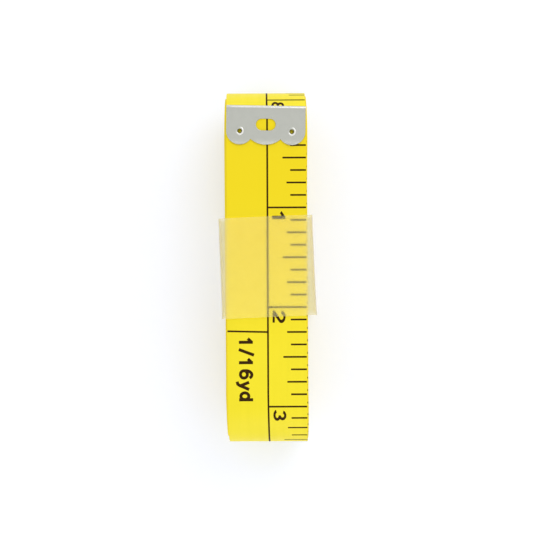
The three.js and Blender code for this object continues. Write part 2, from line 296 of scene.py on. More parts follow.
class Finish:
    """The nodes of a material or a world in the making, linked as they are added."""

    def __init__(self, owner):
        self.owner = owner
        owner.use_nodes = True
        self.tree = owner.node_tree
        self.tree.nodes.clear()

    def add(self, kind, inputs=None, **options):
        """A node with its options set, and each input set to a value or linked to another node's output."""
        node = self.tree.nodes.new("ShaderNode" + kind)
        for option, value in options.items():
            setattr(node, option, value)
        for key, value in (inputs or {}).items():
            if isinstance(value, bpy.types.NodeSocket):
                self.tree.links.new(value, node.inputs[key])
            else:
                node.inputs[key].default_value = value
        return node

    def math(self, operation, *values):
        """The result of a sum on values or sockets."""
        return self.add("Math", dict(enumerate(values)), operation=operation).outputs[0]

    def place(self):
        """A place on the piece, in metres."""
        return self.add("TexCoord").outputs["Object"]

    def stretched(self, vector, factors):
        """A place made longer or shorter along each axis."""
        return self.add("VectorMath", {0: vector, 1: factors}, operation="MULTIPLY").outputs[0]

    def noise(self, vector, scale=1.0, detail=2.0):
        """Smooth noise from 0 to 1."""
        return self.add("TexNoise", {"Vector": vector, "Scale": scale, "Detail": detail}).outputs["Fac"]

    def ramp(self, value, first, last, start=0.0, end=1.0):
        """A number that goes from first to last while a value goes from start to end."""
        inputs = {"Value": value, "From Min": start, "From Max": end, "To Min": first, "To Max": last}
        return self.add("MapRange", inputs).outputs["Result"]

    def tint(self, share, first, second):
        """A colour between two others, each given as a colour or as an output."""
        inputs = {"Factor": share}
        for key, end in ((6, first), (7, second)):
            inputs[key] = end if isinstance(end, bpy.types.NodeSocket) else (*end, 1)
        return self.add("Mix", inputs, data_type="RGBA").outputs[2]

    def bump(self, height, strength, depth):
        """A surface raised by a height from 0 to 1."""
        inputs = {"Height": height, "Strength": strength, "Distance": depth}
        return self.add("Bump", inputs).outputs["Normal"]

    def mixed(self, share, first, second):
        """A shader between two others."""
        return self.add("MixShader", {0: share, 1: first.outputs[0], 2: second.outputs[0]})

    def done(self, shader):
        """The owner with its surface finished."""
        kind = "OutputWorld" if isinstance(self.owner, bpy.types.World) else "OutputMaterial"
        self.add(kind, {"Surface": shader.outputs[0]})
        return self.owner

    def solid(self, inputs):
        """The owner finished as a solid surface."""
        return self.done(self.add("BsdfPrincipled", inputs))


def new_finish(name):
    """A new material to add nodes to."""
    return Finish(bpy.data.materials.new(name))


def tape_place(finish):
    """A place on the tape, and how far across and along it that is."""
    place = finish.add("Attribute", attribute_name=TAPE_PLACE).outputs["Vector"]
    split = finish.add("SeparateXYZ", {0: place}).outputs
    return place, split["X"], split["Y"]


def threads(finish, distance, spacing):
    """A wave from -1 to 1 for each thread."""
    return finish.math("SINE", finish.math("MULTIPLY", distance, 2 * math.pi / spacing))


def coated_cloth():
    """Yellow coating over a fine weave, with faint streaks along the tape and painted shade near its outer
    end.
    """
    tape = settings("tape")
    finish = new_finish("coated_cloth")
    place, across, along = tape_place(finish)
    crossings = finish.math("MULTIPLY", threads(finish, across, WARP), threads(finish, along, WEFT))
    weave = finish.ramp(crossings, 0, 1)
    streaks = finish.noise(finish.stretched(place, (900, 40, 1)), detail=3)
    clouds = finish.noise(place, scale=90)
    shade = finish.math("MULTIPLY_ADD", weave, 0.12, finish.math("MULTIPLY", streaks, clouds))
    unshaded = finish.tint(shade, tape.yellow, tape.deep_yellow)
    # Painted shade near the tape's outer end.
    shaded_share = finish.ramp(along, 1, 0, start=20 * MM, end=65 * MM)
    return finish.solid(
        {
            "Base Color": finish.tint(shaded_share, unshaded, tape.handled_yellow),
            "Roughness": finish.ramp(streaks, 0.4, 0.52),
            "Specular IOR Level": 0.27,
            "Normal": finish.bump(weave, strength=0.12, depth=0.02 * MM),
        }
    )


def cut_edge():
    """The tape's cut edge: the same yellow in a deeper orange of painted shade, with the ends of the threads
    showing.
    """
    tape = settings("tape")
    finish = new_finish("cut_edge")
    place, _, along = tape_place(finish)
    fibres = finish.noise(place, scale=4000, detail=3)
    shade = finish.math("MULTIPLY", finish.ramp(threads(finish, along, WEFT), 0.3, 1), fibres)
    return finish.solid(
        {
            "Base Color": finish.tint(shade, tape.edge_yellow, tape.yellow),
            "Roughness": 0.7,
            "Specular IOR Level": 0.25,
            "Normal": finish.bump(fibres, strength=0.3, depth=0.03 * MM),
        }
    )


def printing_ink():
    """Brown-black ink, a little thin in places."""
    scale = settings("scale")
    finish = new_finish("printing_ink")
    density = finish.noise(finish.place(), scale=3500, detail=3)
    thin = [3 * channel for channel in scale.ink]
    return finish.solid(
        {
            "Base Color": finish.tint(finish.math("POWER", density, 2.5), scale.ink, thin),
            "Roughness": finish.ramp(density, 0.4, 0.55),
            "Specular IOR Level": 0.06,
        }
    )


def satin_metal(name, colour, roughness, rubbed=None):
    """Plated sheet with a fine grain and a few hair scratches, with a painted highlight colour where an
    eyelet's lip stands proud.
    """
    finish = new_finish(name)
    place = finish.place()
    grain = finish.noise(place, scale=9000, detail=3)
    hairs = finish.noise(finish.stretched(place, (9000, 500, 9000)))
    height = finish.math("ADD", finish.math("MULTIPLY", grain, 0.6), finish.math("MULTIPLY", hairs, 0.4))
    worn = [0.93 * channel for channel in colour]
    plating = finish.tint(finish.noise(place, scale=700), colour, worn)
    if rubbed:
        # Share of the painted highlight on an eyelet's lip.
        bright = finish.add("Attribute", attribute_name=HIGHLIGHT_SHARE).outputs["Fac"]
        plating = finish.tint(bright, plating, rubbed)
    return finish.solid(
        {
            "Base Color": plating,
            "Metallic": 1,
            "Roughness": finish.ramp(hairs, *roughness),
            "Normal": finish.bump(height, strength=0.1, depth=0.01 * MM),
        }
    )


def milky_film():
    """Film that lets most light straight through, scatters some of it and shines a little."""
    sleeve = settings("sleeve")
    finish = new_finish("milky_film")
    place = finish.place()
    cloud = finish.noise(place, scale=220, detail=3)
    scuffs = finish.noise(finish.stretched(place, (1500, 250, 1500)))
    normal = finish.bump(scuffs, strength=0.06, depth=0.05 * MM)
    facing = finish.add("LayerWeight", {"Blend": 0.5}).outputs["Facing"]
    slant = finish.math("POWER", facing, 3)
    milky = {"Color": finish.tint(slant, sleeve.film, sleeve.deep_film), "Normal": normal}
    through, back = finish.add("BsdfTranslucent", milky), finish.add("BsdfDiffuse", milky)
    milk = finish.mixed(sleeve.back, through, back)
    haze = finish.ramp(cloud, 0.92 * sleeve.haze, 1.08 * sleeve.haze)
    scattered = finish.math("MULTIPLY_ADD", slant, sleeve.edge_haze, haze)
    clear = finish.add("BsdfTransparent", {"Color": (1, 0.995, 0.98, 1)})
    shine = finish.add("BsdfGlossy", {"Color": (1, 1, 1, 1), "Roughness": 0.22, "Normal": normal})
    gloss = finish.ramp(slant, 0.015, 0.2)
    return finish.done(finish.mixed(gloss, finish.mixed(scattered, clear, milk), shine))


def shown(finish, film=1.0):
    """1 for the rays that show a background to the camera and in metal, and a share of that for rays
    through the film, which scatters them over the object."""
    rays = finish.add("LightPath").outputs
    share = finish.math("MAXIMUM", rays["Is Camera Ray"], rays["Is Glossy Ray"])
    return finish.math("MAXIMUM", share, finish.math("MULTIPLY", rays["Is Transmission Ray"], film))


def pale_floor():
    """Pale floor that keeps the soft shadow and shows white. Its glow grows where the lamps' light falls
    off."""
    finish = new_finish("pale_floor")
    lit = finish.add("BsdfDiffuse", {"Color": (*settings("stage").floor, 1)})
    far = finish.add("VectorMath", {0: finish.place()}, operation="LENGTH").outputs["Value"]
    strength = finish.ramp(far, 0.385, 0.55, start=0.08, end=0.35)
    glow = finish.add("Emission", {"Strength": finish.math("MULTIPLY", shown(finish, film=0.4), strength)})
    return finish.done(finish.add("AddShader", {0: lit.outputs[0], 1: glow.outputs[0]}))


def white_world():
    """Soft light from all round, brightest from the sides, which shows as white."""
    finish = Finish(bpy.data.worlds.new("white_world"))
    way = finish.add("SeparateXYZ", {0: finish.add("TexCoord").outputs["Generated"]})
    light = finish.ramp(way.outputs["Z"], 1.25, 0.725, start=0.05, end=0.75)
    strength = finish.math("MAXIMUM", light, shown(finish))
    return finish.done(finish.add("Background", {"Color": (1, 1, 1, 1), "Strength": strength}))


# Meshes


def piece_of(name, bm, *materials):
    """A piece of the scene from a finished mesh, which is used up."""
    bmesh.ops.recalc_face_normals(bm, faces=bm.faces)
    mesh = bpy.data.meshes.new(name)
    bm.to_mesh(mesh)
    bm.free()
    for material in materials:
        mesh.materials.append(material)
    mesh.shade_smooth()
    mesh.set_sharp_from_angle(angle=SMOOTH_ANGLE)
    piece = bpy.data.objects.new(name, mesh)
    bpy.context.scene.collection.objects.link(piece)
    return piece


def even_edges(piece):
    """Shades the flat faces flat up to their rounded rims."""
    normals = piece.modifiers.new("even_edges", "WEIGHTED_NORMAL")
    normals.keep_sharp = True
    normals.weight = 100


def tube_faces(bm, rows, closed=False):
    """Faces round and along rows of vertices, row by row. Each row is a closed ring, and the tube has flat
    ends unless it closes."""
    pairs = list(zip(rows, rows[1:]))
    if closed:
        pairs.append((rows[-1], rows[0]))
    around = range(len(rows[0]))
    faces = []
    for before, after in pairs:
        for i in around:
            j = (i + 1) % len(around)
            faces.append(bm.faces.new((before[i], before[j], after[j], after[i])))
    if not closed:
        bm.faces.new(rows[0])
        bm.faces.new(rows[-1])
    return faces


def arc(x, y, wide, high, start, end):
    """Points of an elliptical arc between two angles in degrees."""
    steps = max(2, math.ceil(abs(end - start) / ARC_STEP))
    angles = [math.radians(angle) for angle in evenly(start, end, steps)]
    return [(x + wide * math.cos(angle), y + high * math.sin(angle)) for angle in angles]


def hole(x, y, radius):
    """Points round a circle."""
    return arc(x, y, radius, radius, 0, 360 - ARC_STEP)


def plate(loops, thickness, rim):
    """A flat plate about z = 0 with rounded rims, from an outline and its holes. It is filled in
    millimetres, because Blender's fill joins points that are very close."""
    curve = bpy.data.curves.new("plate", "CURVE")
    curve.dimensions = "2D"
    curve.fill_mode = "BOTH"
    curve.extrude = (thickness / 2 - rim) / MM
    curve.bevel_depth = rim / MM
    curve.bevel_resolution = 2
    curve.offset = -rim / MM
    for loop in loops:
        spline = curve.splines.new("POLY")
        spline.points.add(len(loop) - 1)
        for point, (x, y) in zip(spline.points, loop):
            point.co = (x / MM, y / MM, 0, 1)
        spline.use_cyclic_u = True
    holder = bpy.data.objects.new("plate", curve)
    bpy.context.scene.collection.objects.link(holder)
    filled = bpy.data.meshes.new_from_object(holder.evaluated_get(bpy.context.evaluated_depsgraph_get()))
    bm = bmesh.new()
    bm.from_mesh(filled)
    bmesh.ops.remove_doubles(bm, verts=bm.verts, dist=WELD)
    bmesh.ops.dissolve_limit(bm, angle_limit=FLAT_ANGLE, verts=bm.verts, edges=bm.edges)
    bmesh.ops.scale(bm, vec=(MM, MM, MM), verts=bm.verts)
    bpy.data.objects.remove(holder)
    bpy.data.curves.remove(curve)
    bpy.data.meshes.remove(filled)
    return bm


def cut_at(bm, y, **options):
    """Cuts a plate square across at a place along Y."""
    parts = [*bm.verts, *bm.edges, *bm.faces]
    plane = {"plane_co": (0, y, 0), "plane_no": (0, 1, 0)}
    return bmesh.ops.bisect_plane(bm, geom=parts, dist=ON_CUT, **plane, **options)


def cut_across(bm, places):
    """New edges across a plate at places along Y, so that it can bend there."""
    for y in places:
        cut_at(bm, y)


def cut_off(bm, y):
    """Cuts a plate square across and drops what lies before the cut."""
    parts = cut_at(bm, y, clear_inner=True)["geom_cut"]
    bmesh.ops.holes_fill(bm, edges=[part for part in parts if isinstance(part, bmesh.types.BMEdge)])


# Winding


class Winding:
    """The ribbon's line through the hank, by distance from its outer end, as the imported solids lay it."""

    def __init__(self):
        self.tape = settings("tape")
        low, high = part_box("wound_tape")
        end_low, end_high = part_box("tape_free_end")
        self.middle_x = (low.x + high.x) / 2
        self.half_width = (high.x - low.x) / 2
        self.half_solid = (end_high.z - end_low.z) / 2
        self.end_y = end_high.y
        self.top_z = (end_high.z + end_low.z) / 2
        self.seam = self.end_y - self.tape.seam  # where the free end's mesh meets the rest, along the tape
        outer = (high.z - low.z) / 2 - self.half_solid
        self.radii = [outer - k * self.tape.pitch / 2 for k in range(self.tape.folds - 1)]
        self.radii.append(self.radii[-1] / 2)
        self.plain_y = low.y + self.half_solid + self.radii[0]
        self.tip_y = high.y - self.half_solid - self.radii[1]
        self.lay_stretches()

    def lay_stretches(self):
        """Lists where each run and fold starts along the tape. Runs are even and folds odd."""
        self.runs = []
        self.turns = []
        self.starts = []
        y, z, along = self.end_y, self.top_z, 0.0
        for k, radius in enumerate(self.radii):
            way = -1 if k % 2 == 0 else 1
            turn_y = self.plain_y if way < 0 else self.tip_y
            self.runs.append((y, z, way))
            self.starts += [along, along + abs(turn_y - y)]
            self.turns.append((turn_y, z + way * radius))
            along += abs(turn_y - y) + math.pi * radius
            y, z = turn_y, z + 2 * way * radius
        self.runs.append((y, z, -self.runs[-1][2]))
        self.starts.append(along)
        ends = [*self.starts[1:], self.tape.length]
        self.spans = [end - start for start, end in zip(self.starts, ends)]

    def offset(self, run, y):
        """How far a run lies off the hank's middle, at a place along Y."""
        tape = self.tape
        if run < len(tape.first_runs):
            return tape.first_runs[run] - math.tan(tape.first_yaws[run]) * y
        return tape.stagger * math.sin(RUN_WANDER * run) - tape.settle - math.tan(tape.yaw) * y

    def sway(self, fold):
        """How far the middle of a fold lies off the runs on either side of it."""
        tape = self.tape
        if fold < len(tape.first_folds):
            return tape.first_folds[fold]
        return tape.tuck + tape.stagger * math.sin(FOLD_WANDER * fold) / 2

    def bow(self, run):
        """How far the middle of an inner run bows in."""
        if run < len(self.tape.first_runs):
            return 0
        return self.tape.billow * math.sin(BOW_WANDER * run)

    def point(self, across, along, lift):
        """A place across from the tape's middle, along from its outer end and lifted off its outer face."""
        index = max(bisect.bisect_right(self.starts, along) - 1, 0)
        into = along - self.starts[index]
        share = into / self.spans[index]
        swell = math.sin(math.pi * share)
        k = index // 2
        angle = math.pi * (0.5 + k)
        reach = self.half_solid + lift
        if index % 2:
            y, z = self.turns[k]
            angle += into / self.radii[k]
            reach += self.radii[k] + self.tape.puff * swell
            before, after = self.offset(k, y), self.offset(k + 1, y)
            sideways = before + (after - before) * smooth_step(share) + self.sway(k) * swell
        else:
            y, z, way = self.runs[k]
            y += way * into
            reach -= self.bow(k) * swell
            sideways = self.offset(k, y)
        x = self.middle_x + sideways + across
        return Vector((x, y + reach * math.cos(angle), z + reach * math.sin(angle)))

    def stations(self, start, end, run_step=RUN_STEP):
        """Distances along the tape, close enough together for its folds to look round."""
        places = []
        for index, (begin, span) in enumerate(zip(self.starts, self.spans)):
            steps = FOLD_STEPS if index % 2 else math.ceil(span / run_step)
            places += evenly(begin, begin + span, steps)[:-1]
        between = [place for place in places if start + NEAR < place < end - NEAR]
        return [start, *between, end]

    def thickness(self, along):
        """Of the tape, which the tips press thinner at its ends."""
        near = min(along, self.tape.length - along)
        share = smooth_step((near - PRESSED) / PRESSED_RAMP)
        return self.tape.seated + (self.tape.thickness - self.tape.seated) * share


def ribbon_section(half_width, thickness, rim):
    """Places round the tape's section as (across, lift), and which faces between them are cut edges."""
    flat = half_width - rim
    face = [(across, 0) for across in evenly(-flat, flat, TAPE_COLUMNS)]
    side = [(flat + rim * math.cos(a), rim * math.sin(a) - rim) for a in (math.pi / 4, 0)]
    right = side + [(across, -thickness - lift) for across, lift in reversed(side)]
    back = [(-across, -thickness) for across, _ in face]
    left = [(-across, -thickness - lift) for across, lift in right]
    count = len(face) + len(right)
    edges = range(len(face) - 1, count)
    return [*face, *right, *back, *left], {*edges, *(i + count for i in edges)}


def wound_ribbon(winding, start, end):
    """The tape's mesh between two distances from its outer end."""
    bm = bmesh.new()
    place = bm.verts.layers.float_vector.new(TAPE_PLACE)
    rows = []
    for along in winding.stations(start, end):
        section, edges = ribbon_section(winding.half_width, winding.thickness(along), winding.tape.rim)
        row = []
        for across, lift in section:
            vert = bm.verts.new(winding.point(across, along, lift))
            vert[place] = (across, along, 0)
            row.append(vert)
        rows.append(row)
    for number, face in enumerate(tube_faces(bm, rows)):
        face.material_index = EDGE_SLOT if number % len(rows[0]) in edges else FACE_SLOT
    return bm


def fold_y(winding, tip):
    """Outside of a tip's fold, past the cloth's end."""
    return tip.bend + winding.half_solid + tip.seat + tip.sheet


def rivet_places(winding, tip):
    """Where a tip's two rivets stand, from the cloth's end."""
    across = winding.half_width - tip.inset - tip.side_lobe
    along = fold_y(winding, tip) - tip.length + tip.side_lobe
    return [(-across, along), (across, along)]


def free_ribbon(winding):
    """The free end of the tape, with its rivet holes and close facets where it bends."""
    tip = settings("tip")
    tape = winding.tape
    half, end_y = winding.half_width, winding.end_y
    start = tape.seam - 1 * MM  # its rounded rim is cut off
    outline = [(-half, start), (half, start), (half, end_y), (-half, end_y)]
    turned = Matrix.Rotation(tip.skew, 2)
    rivets = [turned @ Vector(place) for place in rivet_places(winding, tip)]
    holes = [hole(x, end_y + y, tip.barrel) for x, y in rivets]
    bm = plate([outline, *holes], tape.thickness, tape.rim)
    cut_off(bm, tape.seam)
    cut_across(bm, evenly(*bend_span(), math.ceil(tape.bend / FINE_STEP)))
    cut_across(bm, evenly(end_y - PRESSED, end_y - PRESSED - PRESSED_RAMP, PRESSED_STEPS))
    layer = bm.verts.layers.float_vector.new(TAPE_PLACE)
    for vert in bm.verts:
        across, along = vert.co.x, end_y - vert.co.y
        share = 0.5 - vert.co.z / tape.thickness
        vert.co = winding.point(across, along, -share * winding.thickness(along))
        vert[layer] = (across, along, 0)
    bm.normal_update()
    for face in bm.faces:
        face.material_index = FACE_SLOT if abs(face.normal.z) > CLOTH_FLAT else EDGE_SLOT
    return bm


def frame_joint(name):
    """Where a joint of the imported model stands."""
    return next(joint["pos_m"] for joint in frame["joints"] if joint["name"] == name)


def bend_span():
    """Between which places along Y the free end bends as it lifts. It starts a little before the joint, so
    that the cloth stretches less."""
    tape = settings("tape")
    start = frame_joint("free_end_lift")[1] - tape.bend_lead
    return start, start + tape.bend


def bend_flap(piece):
    """Bakes the transform of a piece on the free end into its mesh. It looks up where the tape bends as it
    lifts, but does not use it.
    """
    start, end = bend_span()
    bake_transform(piece)


# Print

# Each glyph is its advance and its strokes, for a height of 1. The I is the 1 of the inch numerals, whose
# flag is shorter than that of the yard labels.
GLYPHS = {
    "0": (0.84, [arc(0.42, 0.5, 0.23, 0.41, 0, 360)]),
    "1": (0.74, [[(0.39, 0), (0.39, 1)], [(0.41, 0.94), (0.13, 0.64)]]),
    "I": (0.74, [[(0.416, 0), (0.416, 1)], [(0.436, 0.94), (0.15, 0.66)]]),
    "2": (0.84, [[*arc(0.41, 0.68, 0.23, 0.23, 180, -35), (0.13, 0.09), (0.7, 0.09)]]),
    "3": (0.84, [arc(0.4, 0.705, 0.2, 0.21, 165, -90), arc(0.39, 0.295, 0.24, 0.2, 90, -165)]),
    "4": (0.84, [[(0.54, 0), (0.54, 0.96), (0.14, 0.3), (0.72, 0.3)]]),
    "5": (0.84, [[(0.66, 0.91), (0.24, 0.91), (0.2, 0.5)], arc(0.4, 0.32, 0.24, 0.23, 130, -155)]),
    "6": (0.9, [arc(0.47, 0.35, 0.255, 0.25, 0, 360), arc(0.5, 0.5, 0.285, 0.42, 195, 38)]),
    "7": (0.84, [[(0.14, 0.91), (0.68, 0.91), (0.32, 0)]]),
    "8": (0.84, [arc(0.42, 0.71, 0.2, 0.2, 0, 360), arc(0.42, 0.3, 0.24, 0.21, 0, 360)]),
    "9": (0.9, [arc(0.43, 0.65, 0.255, 0.25, 0, 360), arc(0.4, 0.5, 0.285, 0.42, 15, -142)]),
    "/": (0.68, [[(0.15, -0.01), (0.55, 1.08)]]),
    "y": (0.76, [[(0.12, 0.72), (0.36, 0.1)], [(0.62, 0.72), (0.34, 0.04), (0.25, -0.09), (0.07, -0.14)]]),
    "d": (0.78, [arc(0.33, 0.41, 0.235, 0.285, 0, 360), [(0.575, 0), (0.575, 1)]]),
}


def fine_line(points):
    """A line with points close enough together to lie on a fold."""
    line = [points[0]]
    for before, after in zip(points, points[1:]):
        steps = max(1, math.ceil(math.dist(before, after) / FINE_STEP))
        ways = [evenly(start, end, steps)[1:] for start, end in zip(before, after)]
        line += zip(*ways)
    return line


def stroke_edges(line, weight, closed):
    """The two edges of a stroke of even weight along a line."""
    points = [Vector(point) for point in line]
    ways = [(after - before).normalized() for before, after in zip(points, points[1:])]
    coming = [ways[-1] if closed else ways[0], *ways]
    going = [*ways, ways[0] if closed else ways[-1]]
    left, right = [], []
    for point, before, after in zip(points, coming, going):
        way = (before + after) / 2
        side = Vector((-way.y, way.x)) * (weight / 2 / max(way.length_squared, MITRE))
        left.append(point + side)
        right.append(point - side)
    return left, right


class Press:
    """Prints thin closed bands of ink on one face of the tape. Bands that cross differ in height, and each
    has a number of columns across, so that it can bend."""

    def __init__(self, place, columns=1):
        self.place = place
        self.shares = evenly(0, 1, columns)
        self.scale = settings("scale")
        self.bm = bmesh.new()

    def band(self, left, right, level, closed=False):
        """Ink between two edges, each a list of places across and along the tape."""
        height = self.scale.height * (1 + level / 4)
        rows = []
        for a, b in zip(left, right):
            line = [Vector(a).lerp(Vector(b), share) for share in self.shares]
            ring = [(*point, height) for point in line] + [(*point, -height) for point in reversed(line)]
            rows.append([self.bm.verts.new(self.place(*corner)) for corner in ring])
        tube_faces(self.bm, rows, closed)

    def mark(self, start, end, along, lean=0.0):
        """A straight mark across the tape, whose start may lie ahead of its end."""
        half = self.scale.line / 2
        edges = [[(start, along - lean + side), (end, along + side)] for side in (-half, half)]
        self.band(*edges, level=0)

    def long_line(self, across, places):
        """A line along the tape."""
        half = self.scale.line / 2
        edges = [[(across + side, along) for along in places] for side in (-half, half)]
        self.band(*edges, level=1)

    def words(self, text, base, start, height, weight, stretch):
        """A word that reads along the tape, with its foot on a line towards the tape's left edge."""
        for character in text:
            advance, strokes = GLYPHS[character]
            for level, stroke in enumerate(strokes):
                closed = math.dist(stroke[0], stroke[-1]) < CLOSED
                line = fine_line([(x * height, y * height) for x, y in stroke])
                edges = stroke_edges(line, weight, closed)
                if closed:
                    edges = [edge[:-1] for edge in edges]
                edges = [[(base + y, start + x * stretch) for x, y in edge] for edge in edges]
                self.band(*edges, level, closed)
            start += advance * height * stretch


def yard_label(part):
    """A fraction of a yard in its lowest terms."""
    shared = math.gcd(part, YARD_PARTS)
    return f"{part // shared}/{YARD_PARTS // shared}yd"


def marks_between(start, end, spacing):
    """Numbers of the marks from one reading to another."""
    return range(math.ceil(start / spacing), math.floor(end / spacing) + 1)


def print_inches(press, right, reading, start, end):
    """The inch lines, their numerals and the ticks between them."""
    scale = press.scale
    ticks = {1: scale.eighth, 2: scale.quarter, 4: scale.half}
    shape = scale.numeral, scale.numeral_weight, scale.numeral_stretch
    for number in marks_between(start, end, INCH / EIGHTHS):
        inches, eighths = divmod(number, EIGHTHS)
        along = reading(number * INCH / EIGHTHS)
        if eighths:
            press.mark(right - ticks[math.gcd(eighths, EIGHTHS)], right, along)
        elif inches:
            press.mark(scale.middle, right, along)
            numeral = str(inches).replace("1", "I")
            press.words(numeral, scale.numeral_base, along + scale.numeral_lead, *shape)


def print_yards(press, left, reading, start, end):
    """The yard lines and their fractions."""
    scale = press.scale
    shape = scale.label, scale.label_weight, scale.label_stretch
    for part in marks_between(start, end, YARD_PART):
        if part:
            along = reading(part * YARD_PART)
            press.mark(left, scale.middle, along, scale.yard_lean)
            press.words(yard_label(part), scale.label_base, along + scale.label_lead, *shape)


def print_scale(press, half_width, reading, start, end, yards=True):
    """The marks between two readings of the scale. reading turns a reading into a place along the tape."""
    side = half_width - press.scale.margin
    print_inches(press, side, reading, start, end)
    if yards:
        print_yards(press, -side, reading, start, end)


# Tips and eyelets


def scallops(winding, tip):
    """The scalloped edge of a tip from right to left, from the cloth's end."""
    side, middle = tip.side_lobe, tip.middle_lobe
    spread = winding.half_width - tip.inset - side
    rise = middle - side
    foot = fold_y(winding, tip) - tip.length
    # The lobes stand on one line, and cross where x = spread / 2 + rise * y / spread.
    a = (rise / spread) ** 2 + 1
    b = rise - 2 * middle
    cusp_y = (-b - math.sqrt(b * b - a * spread * spread)) / (2 * a)
    cusp_x = spread / 2 + rise * cusp_y / spread
    on_side = math.degrees(math.atan2(cusp_y - side, cusp_x - spread))
    on_middle = math.degrees(math.atan2(cusp_y - middle, cusp_x))
    right = arc(spread, foot + side, side, side, 0, on_side)
    centre = arc(0, foot + middle, middle, middle, on_middle, -180 - on_middle)
    left = [(-x, y) for x, y in reversed(right)]
    return [*right, *centre[1:-1], *left]


def fold_radius(winding, tip):
    """Of the middle of the sheet round the cloth's end."""
    return winding.half_solid + tip.seat + tip.sheet / 2


def tip_loops(winding, tip):
    """Outline and holes of a tip laid out flat, with the middle of its fold on y = 0."""
    bow = math.pi / 2 * fold_radius(winding, tip)
    slot_y = fold_y(winding, tip) - tip.slot_setback
    end = (tip.slot_width - tip.slot_height) / 2
    radius = tip.slot_height / 2
    slot = arc(end, slot_y, radius, radius, -90, 90) + arc(-end, slot_y, radius, radius, 90, 270)
    loops = [slot, *(hole(x, y, tip.barrel) for x, y in rivet_places(winding, tip))]

    def upper(loop):
        return [(x, y - tip.bend - bow) for x, y in loop]

    def lower(loop):
        return [(x, -y) for x, y in reversed(upper(loop))]

    edge = scallops(winding, tip)
    outline = upper(edge) + lower(edge)
    return [outline, *map(upper, loops), *map(lower, loops)]


def folded_tip(winding, tip):
    """A sheet folded over the cloth's end, which is at the origin with the cloth towards -Y."""
    radius = fold_radius(winding, tip)
    bow = math.pi / 2 * radius
    crest = bow + tip.bead_lead
    reach = bow + tip.length + tip.bend - fold_y(winding, tip)
    loose = reach - tip.sprung
    bm = plate(tip_loops(winding, tip), tip.sheet, tip.rim)
    bead = evenly(bow, bow + BEAD_REACH * tip.bead_spread, BEAD_STEPS)[1:]
    beyond = [*bead, *evenly(loose, reach, SPRUNG_STEPS)[:-1]]
    cut_across(bm, [*evenly(-bow, bow, TIP_STEPS), *beyond, *(-y for y in beyond)])
    bm.normal_update()
    for face in bm.faces:
        # The fold and its bead take the lighter metal of a painted highlight.
        flat_slot = FOLD_SLOT if abs(face.calc_center_median().y) < crest else FACE_SLOT
        face.material_index = flat_slot if abs(face.normal.z) > SHEET_FLAT else EDGE_SLOT
    for vert in bm.verts:
        x, flat, out = vert.co
        angle = min(max(-flat / radius, -math.pi / 2), math.pi / 2)
        along = abs(flat)
        proud = tip.bead * math.exp(-(((along - crest) / tip.bead_spread) ** 2))
        proud += tip.spring * (max(along - loose, 0) / tip.sprung) ** 2
        swing = radius + out + proud
        y = tip.bend - max(along - bow, 0) + swing * math.cos(angle)
        vert.co = (x, y, swing * math.sin(angle))
    return bm


def eyelet(winding, tip):
    """A rolled tubular rivet about Z, from a profile turned once round. Its bore has a waist, and its lip
    is flatter where it was struck. How far the lip stands proud also sets its painted highlight."""
    seat = fold_radius(winding, tip) + tip.sheet / 2
    middle = (tip.bore + tip.flange) / 2
    wide = (tip.flange - tip.bore) / 2
    levels = evenly(-tip.waist * seat, tip.waist * seat, WAIST_STEPS)
    waist = [(tip.throat + (tip.bore - tip.throat) * (z / seat) ** 2, z) for z in levels]
    bm = bmesh.new()
    layer = bm.verts.layers.float.new(HIGHLIGHT_SHARE)
    rows = []
    for turn in evenly(0, 2 * math.pi, EYELET_STEPS)[:-1]:
        proud = (1 - math.cos(turn - tip.struck)) / 2
        height = tip.lip * (tip.struck_lip + (1 - tip.struck_lip) * proud)
        over = arc(middle, seat, wide, height, 180, 0)
        under = [(r, -z) for r, z in reversed(over)]
        profile = [*over, (tip.barrel, seat), (tip.barrel, -seat), *under, *waist]
        spin = Matrix.Rotation(turn, 3, "Z")
        row = [bm.verts.new(spin @ Vector((r, 0, z))) for r, z in profile]
        for vert in row:
            # How far the lip stands proud is also the share of its painted highlight.
            vert[layer] = proud
        rows.append(row)
    tube_faces(bm, rows, closed=True)
    return bm


def tip_frames(winding, tip):
    """Where each tip's cloth ends: its node's name, its body and its place."""
    low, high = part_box("inner_tip")
    inner = Vector(((low.x + high.x) / 2, low.y + fold_y(winding, tip), (low.z + high.z) / 2))
    outer = Vector((winding.middle_x, winding.end_y, winding.top_z))
    yield "outer_tip", "free_end", Matrix.Translation(outer) @ Matrix.Rotation(tip.skew, 4, "Z")
    yield "inner_tip", "hank", Matrix.Translation(inner) @ Matrix.Rotation(math.pi, 4, "Z")


# Sleeve


def sleeve_size(sleeve):
    """Half the sleeve's width, length and height outside, from the box of its askew solid."""
    low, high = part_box("sleeve")
    half = (high - low) / 2
    cos, sin = math.cos(sleeve.skew), math.sin(sleeve.skew)
    spread = cos * cos - sin * sin
    return (half.x * cos - half.y * sin) / spread, (half.y * cos - half.x * sin) / spread, half.z


def sleeve_section(sleeve, inset):
    """Places round the film's section: flat above and below, bowed at the sides."""
    width, _, height = sleeve_size(sleeve)
    radius = sleeve.corner + sleeve.wall - inset
    side = width - sleeve.bulge - inset
    level = height - inset
    corner_x, corner_z = side - radius, level - radius
    flat = [(corner_x * share, level) for share in evenly(-0.9, 0.9, FLAT_STEPS)]
    corner = arc(corner_x, corner_z, radius, radius, 90, 0)
    levels = evenly(corner_z, -corner_z, BOW_STEPS)[1:-1]
    bow = [(side + sleeve.bulge * (1 - (z / corner_z) ** 2), z) for z in levels]
    lower = [(x, -z) for x, z in reversed(corner)]
    half = [*flat, *corner, *bow, *lower]
    return half + [(-x, -z) for x, z in half]


